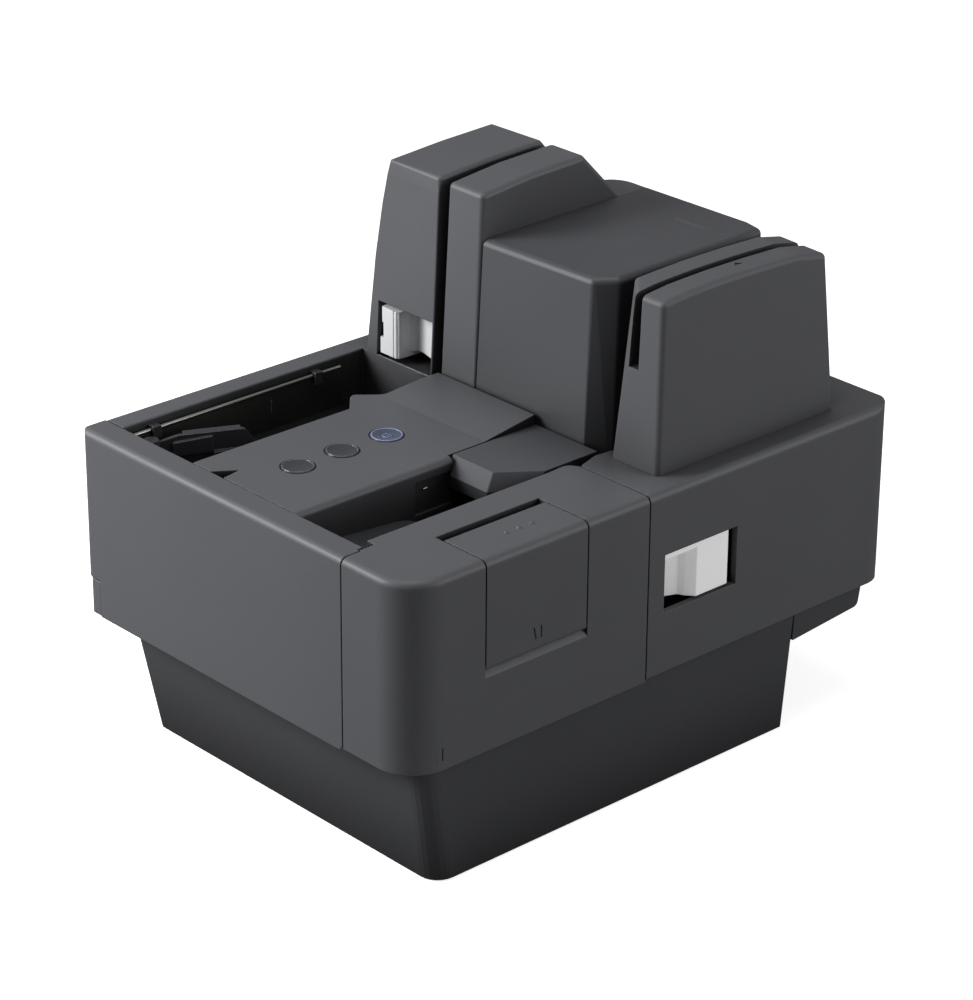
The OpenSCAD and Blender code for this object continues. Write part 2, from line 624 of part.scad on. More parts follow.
module motor(p, r, z1)
    color("#8d9094") difference() {
        rod(p, r, tray_z + wall + 13, z1);
        rod(p, shaft_r + fit, z1 - 12, z1 + 1);
    }
module drive_motor()
    difference() {
        union() {
            motor(motor_at, 17, base_h + 4);
            color("#8d9094") difference() {
                box([motor_at.x - 24, motor_at.y - 24, base_h + plate_t],
                    [motor_at.x + 24, motor_at.y + 24, base_h + 4.5]);
                rod(motor_at, 12, base_h, base_h + 6);
            }
        }
        rod(motor_at, shaft_r + fit, base_h - 8, base_h + 6);
    }
module feed_motor()
    difference() {
        union() {
            motor(feed_at, 13, base_h + 4);
            color("#8d9094") difference() {
                box([feed_at.x - 18, feed_at.y - 18, base_h + plate_t],
                    [feed_at.x + 16, feed_at.y + 18, base_h + 4.5]);
                rod(feed_at, 10, base_h, base_h + 6);
            }
        }
        rod(feed_at, shaft_r + fit, base_h - 8, base_h + 6);
    }

module magnetic_head()
    color("#9a9da1") {
        box([slot_l + half + 0.2, head_y.x, floor_z + 4], [slot_l + half + 7, head_y.y, floor_z + 14]);
        box([slot_l + half + 2.6, head_y.x - 2.5, floor_z + 0.2], [slot_l + half + 9, head_y.y + 2.5, floor_z + 4]);
    }

module centre_image_sensor()
    color("#18191c") {
        box([slot_l + half + 0.2, sensor_c.x, floor_z + 1.5], [slot_l + half + 10, sensor_c.y, sensor_top]);
        box([slot_l + half + 4, sensor_c.x + 3, floor_z + 0.1], [slot_l + half + 9, sensor_c.y - 3, floor_z + 1.5]);
    }

module ink_cartridge()
    color("#20252b") {
        box([lip_x + 3, print_y0 + 6.6, floor_z + 2], [81, print_y0 + 24.6, floor_z + 17]);
        box([lip_x + 0.3, print_y0 + 11.6, floor_z + 4], [lip_x + 3, print_y0 + 18.6, floor_z + 11]);
    }

// Belts, drawn as the loop around their pulleys
module loop(pulleys, extra) hull() for (p = pulleys) translate([p.x, p.y]) circle(r = p[2] + extra, $fn = 32);
module belt(pulleys, z, w)
    color("#101010") translate([0, 0, z]) linear_extrude(w) difference() {
        loop(pulleys, belt_t + 0.1);
        loop(pulleys, 0.1);
    }
module drive_belt()
    belt(concat([for (p = drive_at) [p.x, p.y, pulley_r]], [[motor_at.x, motor_at.y, motor_pulley_r]]),
         pulley_z + 1, 5);
module feed_belt()
    belt([[feed_at.x, feed_at.y, feed_pulley_r], [pickup_at.x, pickup_at.y, feed_pulley_r]], feed_pulley_z + 1, 4);

// Left cover: outer shell, tower, rear guide
guide_z0 = floor_z + 0.4;
leg_y0 = slot_b + half;

module knuckles(x)
    for (z = [knuckle_z0, knuckle_z0 + 20, knuckle_z0 + 48])
        difference() {
            rod([x, knuckle_y], knuckle_r, z, z + 12);
            rod([x, knuckle_y], hinge_pin_r + fit, z - 1, z + 13);
        }

module left_cover()
    color("#4a4b4f") {
        difference() {
            union() {
                difference() {
                    intersection() {
                        front([[-hx, base_h, 0], [-hx, rim, far_r], [hinge_l + 2, rim, 0],
                               [hinge_l + 2, base_h, 0]], tower_y - 1.25, hy);
                        side([[tower_y - 1.25, base_h, 0], [hy, base_h, 0], [hy, rim, far_r],
                              [tower_y - 1.25, rim, 0]], -hx, hinge_l + 2);
                        plan([[-hx, tower_y - 1.25, 0], [bay_x, tower_y - 1.25, 0], [bay_x, tower_y, 0],
                              [slot_l - half, tower_y, 8], [slot_l - half, leg_y0, turn_out], [hinge_l, leg_y0, 0],
                              [hinge_l, hy, 0], [-hx, hy, 9]], base_h, rim);
                    }
                    // Hollow inside, with the inner wall along the slot left standing
                    plan([[-hx + wall, tower_y + 1.25, 0], [bay_x + 1, tower_y + 2.5, 0],
                          [slot_l - half - 2.5, tower_y + 2.5, 6], [slot_l - half - 2.5, leg_y0 + 2.5, turn_out],
                          [hinge_l - 7, leg_y0 + 2.5, 0], [hinge_l - 7, hy - wall, 0], [-hx + wall, hy - wall, 6]],
                         base_h - 1, rim - wall);
                }
            }
            // Nothing hangs below the track floor except the outer walls
            box([-hx + wall, tower_y - 2, base_h - 1], [hinge_l - 7, hy - wall, base_h + 5]);
            plan([[bay_x - 1, tower_y - 3, 0], [5, tower_y - 3, 0], [5, leg_y0 + 10, 0],
                  [slot_l - 12, leg_y0 + 10, 0], [slot_l - 12, 20, 0], [bay_x - 1, 20, 0]], base_h - 1, guide_z0);
            box([hinge_l - 7, leg_y0 - 1, base_h - 1], [hinge_l + 3, plate_y1 + 1.5, base_h + 5]);
            rod([hinge_l, knuckle_y], knuckle_r + 0.5, base_h - 1, rim + 1);
            box([hinge_l - 1, knuckle_y, base_h - 1], [hinge_l + 4, hy + 1, rim + 1]);
            // Ledge behind a low lip, in front of the lever
            box([left_win_x0, tower_y + 1, rim - ledge_drop], [left_win_x1, 24, rim + 1]);
            // Openings under the tower: pinch roller, image sensor
            box([-66, 25, rim - 5], [slot_l - half - 2.6, left_back - 6, rim + 1]);
            box([slot_l - half - 3, sensor_l.x - gap, base_h], [slot_l - half + 1, sensor_l.y + gap, rim + 1]);
        }
        knuckles(hinge_l);
        for (z = [knuckle_z0, knuckle_z0 + 20, knuckle_z0 + 48])
            difference() {
                box([hinge_l - 9, knuckle_y - 3, z], [hinge_l, knuckle_y + 3, z + 12]);
                rod([hinge_l, knuckle_y], knuckle_r - 1, z - 1, z + 13);
            }
    }

// Left tower: its left side curves inward, as [height above the rim, x, depth of the slope behind]
left_side = [[0, -89.6, slope_y], [45, -85.9, slope_y], [69, -82.6, slope_y - 1], [83, -79.9, slope_y - 14]];
left_top = -78.6;
left_body_h = 64;

module left_tower_solid(inset)
    let (x1 = slot_l - half - inset, r = 2) {
        hull() {
            for (s = [[x1 - r, r, 0], [left_top + 1 + inset, 1, -0.3]])
                balls([for (q = [[tower_y + tower_lean + s[1], -2.9], [40, -1], [peak_y, 0]])
                    [s.x, q.x + (q.x < 20 ? inset : 0), rim + tower_h - s[1] + q.y + s[2] - inset]], s[1]);
            for (q = left_side)
                discs([for (x = [x1 - 0.8, q.y + 0.8 + inset],
                            y = [tower_y + tower_lean * q.x / tower_h + 0.8 + inset, q.z - 0.8 - inset]) [x, y]],
                      0.8, rim + q.x);
        }
        hull()
            for (q = [left_side[0], left_side[1], [left_body_h, -83.4]])
                discs([for (x = [x1 - 1, q.y + 1 + inset], y = [60, left_back - 1 - inset]) [x, y]], 1,
                      rim + q.x - (q.x == left_body_h ? inset : 0));
    }

module left_tower()
    color("#4a4b4f") difference() {
        left_tower_solid(0);
        difference() {
            left_tower_solid(2.5);
            for (z = [high_z - 3.2, high_z + high_l + 0.4])
                difference() {
                    box([-62, 22, z], [slot_l, 38, z + 2.8]);
                    rod(pinch_at[0], pin_r + fit, z - 1, z + 4);
                }
            box([left_win_x0 - 4, 0, rim + left_win_h], [slot_l, 22, rim + left_win_h + 2.5]);
        }
        box([left_win_x0, 0, rim - 1], [left_win_x1, 23, rim + left_win_h]);
        box([slot_l - half - 4, pinch_at[0].y - 6.6, high_z - 0.4],
            [slot_l + 1, pinch_at[0].y + 6.6, high_z + high_l + 0.4]);
        box([slot_l - half - 4, sensor_l.x - gap, rim - 1], [slot_l + 1, sensor_l.y + gap, sensor_top + 2]);
        rod(pinch_at[0], pin_r + fit, high_z - 3.2, high_z + high_l + 3.2);
    }

// Guides of the turn above the rim: a curved wall with a window and two shelves for a pinch roller
module guide_wall(d, x0, y0)
    // Wall thickness d round the turn, drawn for the left side
    plan([[slot_l - half - d, leg_y0 - turn_out, 0], [x0, leg_y0 - turn_out, 0], [x0, leg_y0 + d, 0],
          [slot_l - half - d, leg_y0 + d, turn_out + d]], rim - y0, rear_guide_top + y0);

module guide_shelves(p)
    for (z = [low_z - 3, low_z + low_l + 0.4])
        difference() {
            box([p.x - 6, leg_y0 + 2.4, z], [p.x + 6, p.y + 5, z + 2.6]);
            rod(p, pin_r + fit, z - 1, z + 4);
        }

module left_rear_guide()
    color("#3f4044") {
        difference() {
            guide_wall(2.5, post_x0 - gap, 0);
            guide_wall(0, post_x1, 1);
            box([-60, leg_y0 - turn_out - 18, rim - 1], [slot_l - half, left_back + 0.4, rear_guide_top + 1]);
            box([rear_l - 6.4, leg_y0 - 1, low_z - 0.4], [rear_l + 6.4, leg_y0 + 4, low_z + low_l + 0.4]);
            rod(pinch_at[1], pin_r + fit, low_z - 3, low_z + low_l + 3);
        }
        guide_shelves(pinch_at[1]);
    }

module left_image_sensor()
    color("#18191c") {
        box([slot_l - half - 10, sensor_l.x, floor_z + 2], [slot_l - half - 0.2, sensor_l.y, sensor_top]);
        box([slot_l - half - 10, sensor_l.x + 2, sensor_top], [slot_l - half - 4, sensor_l.y - 2, sensor_top + 1.5]);
    }

// Right cover: outer shell, swipe tower, rear guide
module right_cover()
    color("#4a4b4f") {
        difference() {
            intersection() {
                front([[hinge_r - 2, base_h, 0], [hx, base_h, 0], [hx, rim, edge_r], [hinge_r - 2, rim, 0]],
                      cover_front, hy);
                side([[cover_front, base_h, 0], [hy, base_h, 0], [hy, rim, far_r], [cover_front, rim, 0]],
                     hinge_r - 2, hx);
                plan([[62.3, cover_front, 1], [hx, cover_front, 0], [hx, hy, 12.5], [hinge_r, hy, 0],
                      [hinge_r, leg_y0, 0], [slot_r + half, leg_y0, turn_out], [slot_r + half, 14, 0],
                      [58.8, 2.6, 2]], base_h, rim);
            }
            plan([[63.4, cover_front + 2.5, 0], [hx - wall, cover_front + 2.5, 0], [hx - wall, hy - wall, 9.5],
                  [hinge_r + 7, hy - wall, 0], [hinge_r + 7, leg_y0 + 2.5, 0],
                  [slot_r + half + 2.5, leg_y0 + 2.5, turn_out], [slot_r + half + 2.5, 14, 0], [62, 3, 0]],
                 base_h - 1, rim - wall);
            box([55, cover_front - 1, base_h - 1], [hx - wall, hy - wall, base_h + 5]);
            plan([[10, leg_y0 + 10, 0], [slot_r + 12, leg_y0 + 10, 0], [slot_r + 12, 4, 0], [55, 4, 0], [10, 60, 0]],
                 base_h - 1, guide_z0);
            box([hinge_r - 3, leg_y0 - 1, base_h - 1], [hinge_r + 7, plate_y1 + 1.5, base_h + 5]);
            rod([hinge_r, knuckle_y], knuckle_r + 0.5, base_h - 1, rim + 1);
            box([hinge_r - 4, knuckle_y, base_h - 1], [hinge_r + 1, hy + 1, rim + 1]);
            // Lever window, and the opening under the tower
            box([hx - wall - 1, lever_y0, lever_z0], [hx + 1, lever_y0 + 42, lever_z1]);
            box([slot_r + half + 2.6, 20, rim - 5], [87, right_back - 10, rim + 1]);
        }
        knuckles(hinge_r);
        for (z = [knuckle_z0, knuckle_z0 + 20, knuckle_z0 + 48])
            difference() {
                box([hinge_r, knuckle_y - 3, z], [hinge_r + 9, knuckle_y + 3, z + 12]);
                rod([hinge_r, knuckle_y], knuckle_r - 1, z - 1, z + 13);
            }
    }

module right_tower_solid()
    let (x0 = slot_r + half, r = 2.5)
    hull() {
        balls([for (q = [[tower_y + 2.4 + r, -1.6], [25, -0.4], [45, 0], [65, -0.3], [right_back - 26, -1],
                         [right_back - 7.5 - r, -4]]) [89.2 - r, q.x, rim + swipe_h - r + q.y]], r);
        balls([[71.6 + r, tower_y + 2.4 + r, rim + swipe_h - r - 1.8], [x0 + 1.6 + r, 21, rim + swipe_h - r - 0.8],
               [x0 + 1.6 + r, 45, rim + swipe_h - r], [x0 + 1.6 + r, 70, rim + swipe_h - r - 0.1],
               [x0 + 1.6 + r, right_back - 22, rim + swipe_h - r - 0.8],
               [x0 + 1.6 + r, right_back - 7.5 - r, rim + swipe_h - r - 3.4]], r);
        plan([[65.3, tower_y - 0.3, 1], [91.2, tower_y - 0.3, 2.5], [90.6, right_back, 3], [x0, right_back, 2],
              [x0, 13.5, 1]], rim, rim + 0.1);
    }

module right_tower()
    color("#4a4b4f") difference() {
        right_tower_solid();
        // Swipe slot, open at both ends
        front([[card_x - card_w / 2 - card_flare, card_floor, 0], [card_x + card_w / 2, card_floor, 0],
               [card_x + card_w / 2, rim + swipe_h + 1, 0], [card_x - card_w / 2, rim + swipe_h + 1, 0]], 0, hy);
        // Hollow below it, with two shelves for the pinch roller
        difference() {
            box([slot_r + half + 2.6, 24, rim - 1], [86.4, right_back - 12, card_floor - 3]);
            for (z = [high_z - 3.2, high_z + high_l + 0.4])
                difference() {
                    box([slot_r, 36, z], [72, 54, z + 2.8]);
                    rod(pinch_at[3], pin_r + fit, z - 1, z + 4);
                }
        }
        box([slot_r - 1, pinch_at[3].y - 6.6, high_z - 0.4],
            [slot_r + half + 3, pinch_at[3].y + 6.6, high_z + high_l + 0.4]);
        rod(pinch_at[3], pin_r + fit, high_z - 3.2, high_z + high_l + 3.2);
        // Pocket for the card head, and the moulded mark beside the slot
        box([card_x, 53, card_floor + 5], [card_x + 8, 67, card_floor + 15]);
        translate([0, 60, 0]) plan([[card_x + card_w / 2 + 1.4, 0, 0], [card_x + card_w / 2 + 4, -2.4, 0],
            [card_x + card_w / 2 + 4, 2.4, 0]], rim + swipe_h - 0.8, rim + swipe_h + 2);
    }

module right_rear_guide()
    color("#3f4044") {
        difference() {
            translate([slot_l + slot_r, 0, 0]) mirror([1, 0, 0])
                difference() {
                    guide_wall(2.5, slot_l + slot_r - post_x1 - gap, 0);
                    guide_wall(0, slot_r, 1);
                }
            box([slot_r + half, leg_y0 - turn_out - 18, rim - 1], [hx, right_back + 0.4, rear_guide_top + 1]);
            box([rear_r - 6.4, leg_y0 - 1, low_z - 0.4], [rear_r + 6.4, leg_y0 + 4, low_z + low_l + 0.4]);
            rod(pinch_at[2], pin_r + fit, low_z - 3, low_z + low_l + 3);
        }
        guide_shelves(pinch_at[2]);
    }

module card_head()
    color("#8f9296") {
        box([card_x + card_w / 2, 56, card_floor + 7], [card_x + card_w / 2 + 4, 64, card_floor + 13]);
        box([card_x + card_w / 2 + 4, 54, card_floor + 5.4], [card_x + 7.6, 66, card_floor + 14.6]);
    }

// White latch levers
module left_lever()
    color("#e4e4e2") {
        // Grip bar: its left side steps outward at the foot and has a waist, its right edge has two grooves
        difference() {
            for (q = [[1.4, 8.5, 0.8], [8.5, 16, 2.8], [16, 23, 2]])
                plan([[left_win_x0 + q.z, tower_y + 0.6, 1.5], [left_win_x0 + 13.5, tower_y + 0.6, 2.4],
                      [left_win_x0 + 14, 20, 0], [left_win_x0 + q.z + 1, 20, 0]], rim + q.x, rim + q.y);
            for (x = [10.2, 12.2])
                box([left_win_x0 + x, tower_y, rim], [left_win_x0 + x + 0.5, tower_y + 1.4, rim + left_win_h]);
        }
        // Curved web that runs from the bar towards the slot
        plan([[left_win_x0 + 10, 12, 0], [left_win_x0 + 13, 12, 0], [left_win_x0 + 16, 17.8, 4], [-54.2, 14.6, 0],
              [-54.2, 16.6, 0], [left_win_x0 + 16, 20, 4], [left_win_x0 + 10, 20, 0]],
             rim + 3.6, rim + left_win_h - 0.4);
        // Bar inside that reaches the latch
        box([left_win_x0 + 3, 20, rim + 6], [left_win_x0 + 12, 22.4, rim + 20]);
    }

module right_lever()
    color("#e4e4e2") {
        plan([[hx - 0.6, lever_y0 + 19.2, 0.4], [hx - 0.6, lever_y0 + lever_w, 1.2], [hx - 4, lever_y0 + lever_w, 0],
              [hx - 4, lever_y0 + 22, 1], [hx - 11.6, lever_y0 + 16.5, 0], [hx - 11.6, lever_y0 + 0.4, 0],
              [hx - 9.6, lever_y0 + 0.4, 0], [hx - 9.4, lever_y0 + 9, 1], [hx - 7, lever_y0 + 14.8, 1],
              [hx - 4.4, lever_y0 + 16, 1]], lever_z0 + 1.4, lever_z1 - 2.6);
        plan([[hx - 0.6, lever_y0 + 0.4, 0.4], [hx - 0.6, lever_y0 + lever_w, 1.2], [hx - 4, lever_y0 + lever_w, 0],
              [hx - 11.6, lever_y0 + 16.5, 0], [hx - 11.6, lever_y0 + 0.4, 0]], lever_z1 - 2.6, lever_z1 - 0.3);
    }

// Cover over the imprinter, hinged along its lower edge
module imprinter_cover()
    color("#4e4f53") {
        difference() {
            front([[print_x, rim - 2.5, 0], [print_x, rim, 0.4], [hx, rim, edge_r], [hx, print_pin.y, 0],
                   [hx - 0.4, print_pin.y - 1, 0], [hx - 1.5, print_pin.y - 1.5, 0], [hx - 2.6, print_pin.y - 1, 0],
                   [hx - 3, print_pin.y, 0], [hx - 2.5, rim - 2.5, 1]], print_y0, print_y1);
            grip_marks(print_y0 + 26, base_h + 39.5);
        }
        for (y = [-31, -24.2, -17.4]) translate([hx - 14, print_y1 + y, rim - 0.4]) sphere(r = 1.1, $fn = 24);
        for (y = [print_y0 - 2.4, print_y1 - 1])
            translate([print_pin.x, y, print_pin.y]) rotate([-90, 0, 0]) cylinder(r = 1.2, h = 3.4);
    }

// Arm that pushes the cheques towards the pickup roller
arm_pin = [bay_x + 7.5, panel_front + 8.8];
arm_turn = 26;

module pusher_arm()
    color("#161617") translate([arm_pin.x, arm_pin.y, 0]) rotate([0, 0, -arm_turn]) {
        cylinder_z0 = floor_z + 0.3;
        translate([0, 0, cylinder_z0]) cylinder(r = 3.2, h = rim - 5.5 - cylinder_z0);
        side([[0, floor_z + 4, 0], [38, floor_z + 4, 2], [46, rim - 14, 2], [40, rim - 4.6, 2.5], [12, rim - 4.6, 1],
              [0, rim - 7.5, 0]], -0.9, 0.9);
        side([[26, floor_z + 2, 1], [40, floor_z + 2, 2], [40, floor_z + 9, 2], [26, floor_z + 9, 1]], 0.9, 3);
        // Folded upper edge, and the raised panel beside the pivot
        side([[14, rim - 5.8, 0], [38.5, rim - 5.8, 0], [38.5, rim - 4.6, 0], [14, rim - 4.6, 0]], -3.6, 0);
        side([[9, rim - 13.5, 0.5], [26, rim - 13, 0.5], [26, rim - 6, 0.5], [9, rim - 7.4, 0.5]], 0.9, 2.2);
    }

// Buttons
module button(p)
    color("#3d3e42") {
        difference() {
            rod(p, button_d / 2, rim - 6, rim + 0.2);
            translate([p.x, p.y, rim + 29.6]) sphere(r = 30, $fn = 96);
        }
        rod(p, button_d / 2 + 1.4, rim - 4.6, rim - 2.8);
        rod(p, 2, board_z + 1.6 + switch_h + button_travel + stem_gap, rim - 5);
    }
module front_button() button(button_at[0]);
module middle_button() button(button_at[1]);
module power_button()
    color("#3d3e42") difference() {
        button(button_at[2]);
        rod(button_at[2], 3, rim - 2, rim + 1);
    }
module power_light() color("#4f7dff") rod(button_at[2], 3, rim - 2, rim - 0.3);

// Rollers
module roller(p, r, z, len, z0, z1, pulley_r0, pulley_at, pulley_w)
    color("#2a2a2c") {
        rod(p, shaft_r, z0, z1);
        rod(p, r, z, z + len);
        rod(p, pulley_r0, pulley_at, pulley_at + pulley_w);
        for (s = [-0.8, pulley_w]) rod(p, pulley_r0 + 1.2, pulley_at + s, pulley_at + s + 0.8);
    }
module pickup_roller()
    roller(pickup_at, pickup_r, floor_z + 3, 12, base_h + 22, floor_z + 17, feed_pulley_r, feed_pulley_z, 6);
module feed_roller()
    roller(feed_at, drive_r, floor_z + 3, 12, base_h - 6, floor_z + 17, feed_pulley_r, feed_pulley_z, 6);
module retard_roller()
    color("#2a2a2c") difference() {
        rod(retard_at, retard_r, floor_z + 3, floor_z + 15);
        rod(retard_at, pin_r + fit, floor_z + 2, floor_z + 16);
    }

module drive_roller(i)
    roller(drive_at[i], drive_r, roller_z[i], roller_l[i], base_h + plate_t + 1,
           roller_z[i] + roller_l[i] + shelf_gap + shelf_t + 1, pulley_r, pulley_z, 7);
module drive_roller_1() drive_roller(0);
module drive_roller_2() drive_roller(1);
module drive_roller_3() drive_roller(2);
module drive_roller_4() drive_roller(3);

module pinch_roller(i)
    color("#d8d8d4") {
        rod(pinch_at[i], pinch_r, roller_z[i], roller_z[i] + roller_l[i]);
        rod(pinch_at[i], pin_r, roller_z[i] - 2.8, roller_z[i] + roller_l[i] + 2.8);
    }
module pinch_roller_1() pinch_roller(0);
module pinch_roller_2() pinch_roller(1);
module pinch_roller_3() pinch_roller(2);
module pinch_roller_4() pinch_roller(3);

module motor_pulley()
    color("#9a9da1") {
        rod(motor_at, shaft_r, base_h - 6, pulley_z + 9);
        rod(motor_at, motor_pulley_r, pulley_z, pulley_z + 7);
        for (s = [-0.8, 7]) rod(motor_at, motor_pulley_r + 1.2, pulley_z + s, pulley_z + s + 0.8);
    }

base_tray();
foot_front_left();
foot_front_right();
foot_rear_left();
foot_rear_right();
chassis_plate();
front_panel();
left_wall();
corner_housing();
document_floor();
control_panel();
exit_hood();
pocket_floor();
scan_tower();
centre_block();
rear_post();
left_hinge_pin();
right_hinge_pin();
guide_plate();
front_clip();
rear_clip();
button_board();
main_board();
power_inlet();
data_port();
drive_motor();
feed_motor();
magnetic_head();
centre_image_sensor();
ink_cartridge();
drive_belt();
feed_belt();
left_cover();
left_tower();
left_rear_guide();
left_image_sensor();
right_cover();
right_tower();
right_rear_guide();
card_head();
left_lever();
right_lever();
imprinter_cover();
pusher_arm();
front_button();
middle_button();
power_button();
power_light();
pickup_roller();
feed_roller();
retard_roller();
drive_roller_1();
drive_roller_2();
drive_roller_3();
drive_roller_4();
pinch_roller_1();
pinch_roller_2();
pinch_roller_3();
pinch_roller_4();
motor_pulley();
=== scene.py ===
# %% [markdown]
# A desktop cheque scanner, dressed for a studio picture.
#
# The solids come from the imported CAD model: every housing part, roller and lever is a separate
# object in metres, with +Z up and the front panel facing -Y. Blender's share is what CAD can not
# give: the surface of each material, soft moulded edges, and the small details that are too fine
# to be worth a solid.

import json
import math

import bmesh
import bpy
from mathutils import Matrix, Vector


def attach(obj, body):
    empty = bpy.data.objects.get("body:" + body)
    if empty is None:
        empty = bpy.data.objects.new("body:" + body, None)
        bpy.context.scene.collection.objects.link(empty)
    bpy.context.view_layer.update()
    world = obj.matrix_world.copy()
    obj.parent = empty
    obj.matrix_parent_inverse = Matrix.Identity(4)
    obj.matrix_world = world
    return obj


MM_PER_METRE = 1000

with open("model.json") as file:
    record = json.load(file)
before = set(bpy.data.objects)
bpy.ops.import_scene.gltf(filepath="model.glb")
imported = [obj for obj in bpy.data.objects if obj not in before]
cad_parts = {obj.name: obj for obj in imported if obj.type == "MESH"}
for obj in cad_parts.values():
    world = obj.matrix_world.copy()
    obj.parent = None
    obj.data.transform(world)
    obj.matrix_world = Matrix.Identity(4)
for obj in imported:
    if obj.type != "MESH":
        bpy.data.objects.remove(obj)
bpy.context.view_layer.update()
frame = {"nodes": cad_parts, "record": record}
nodes = frame["nodes"]

# %% [markdown]
# The camera stands at the photograph's own viewpoint. It was found by fitting the corners of the
# housing, so its place, its three angles and its lens are measured values. A long lens from one
# and a half metres keeps the edges nearly parallel, as product pictures do. The lens is worked out
# from the focal length in pixels and the photograph's longer side.

# %% Camera
CAMERA_PLACE = (1.006155, -0.927557, 0.730660)
YAW, PITCH, ROLL = math.radians(47.44), math.radians(24.78), math.radians(0.43)
PHOTO_HEIGHT_PX = 1000
FOCAL_PX = 3551.7
SENSOR_MM = 36.0
NEAREST_SEEN = 0.05

camera_data = bpy.data.cameras.new("product_camera")
camera_data.sensor_fit = "AUTO"
camera_data.sensor_width = SENSOR_MM
camera_data.lens = FOCAL_PX / PHOTO_HEIGHT_PX * SENSOR_MM
camera_data.clip_start = NEAREST_SEEN
camera_data.dof.use_dof = False
camera = bpy.data.objects.new("product_camera", camera_data)
bpy.context.scene.collection.objects.link(camera)
turned = Matrix.Rotation(YAW, 4, "Z")
tilted = Matrix.Rotation(math.pi / 2 - PITCH, 4, "X")
rolled = Matrix.Rotation(ROLL, 4, "Z")
aimed = turned @ tilted @ rolled
camera.matrix_world = Matrix.Translation(CAMERA_PLACE) @ aimed
bpy.context.scene.camera = camera
print("lens", round(camera_data.lens, 2), "mm")

# %% [markdown]
# Colours are written as the sRGB hex values that one reads off a picture, and one function turns
# them into the linear numbers that the renderer works with. A second small function adds a shader
# node, sets its values and joins its inputs, which keeps each material readable from top to bottom.


# %% Helpers for materials
def linear(hex_colour):
    """(r, g, b, 1) in linear light from a value such as "#5b5c60", by the sRGB standard's curve."""
    raw = [int(hex_colour[i : i + 2], 16) / 255 for i in (1, 3, 5)]
    return tuple(v / 12.92 if v <= 0.04045 else ((v + 0.055) / 1.055) ** 2.4 for v in raw) + (1.0,)


def scaled(colour, factor):
    """The same colour, lighter or darker by a factor."""
    return tuple(v * factor for v in colour[:3]) + (1.0,)


def add(tree, kind, values=(), links=(), **settings):
    """A shader node of that kind with its settings, its input values and its incoming links."""
    node = tree.nodes.new(kind)
    for name, value in settings.items():
        setattr(node, name, value)
    for name, value in dict(values).items():
        node.inputs[name].default_value = value
    for name, source in dict(links).items():
        tree.links.new(source, node.inputs[name])
    return node


def blank(name):
    """A new material with an empty tree and its output."""
    material = bpy.data.materials.new(name)
    material.use_nodes = True
    material.node_tree.nodes.clear()
    return material, material.node_tree, material.node_tree.nodes.new("ShaderNodeOutputMaterial")


print("mid grey", [round(v, 3) for v in linear("#5b5c60")[:3]])

# %% [markdown]
# Deep corners, such as the hopper and the slots, get painted shade. Ambient occlusion measures
# how much of the sky a point sees, and a map range turns that into a factor that darkens the colour,
# which works on any shape.

# %% Painted shade in deep corners
WELL = 0.06
SHUT_IN, IN_THE_OPEN = 0.38, 0.8


def painted_corner_shade(tree, shade):
    """A painted shade factor for the colour: from shade in a deep corner to 1 on open faces; WELL is how
    far walls count, in metres.
    """
    # painted shade: ambient occlusion darkens the colour in deep corners
    open_sky = add(tree, "ShaderNodeAmbientOcclusion", {"Distance": WELL}, samples=6)
    return add(tree, "ShaderNodeMapRange",
               {"From Min": SHUT_IN, "From Max": IN_THE_OPEN, "To Min": shade, "To Max": 1.0},
               {"Value": open_sky.outputs["AO"]})


print("walls count up to", WELL, "m away")

# %% [markdown]
# The housing is injection-moulded ABS. Its mould was spark eroded, which leaves a fine, even grain
# about 0.15 mm across: the plastic looks matt from afar, with a broad soft sheen. One noise pattern,
# drawn about three times as coarse so that it shows, drives the bump, and a second slow one moves
# the colour and roughness a little, as flow and handling do.
#
# The edges of real mouldings are never sharp, so a small bevel is read into the normal where two
# faces meet. Where that bevelled normal leaves the face's own, the colour is made lighter: a painted
# edge highlight. The colour is also darkened in deep corners by the painted shade above.

# %% Moulded ABS
ABS_IOR = 1.53
CLOUDS_PER_METRE = 22.0
GRAIN_LOW, GRAIN_HIGH = 0.3, 0.7
GRAIN_CONTRAST = 0.07
EDGE_HIGHLIGHT_FROM = 0.85
ROUGHNESS_DRIFT = 0.05
RELIEF = 0.0001


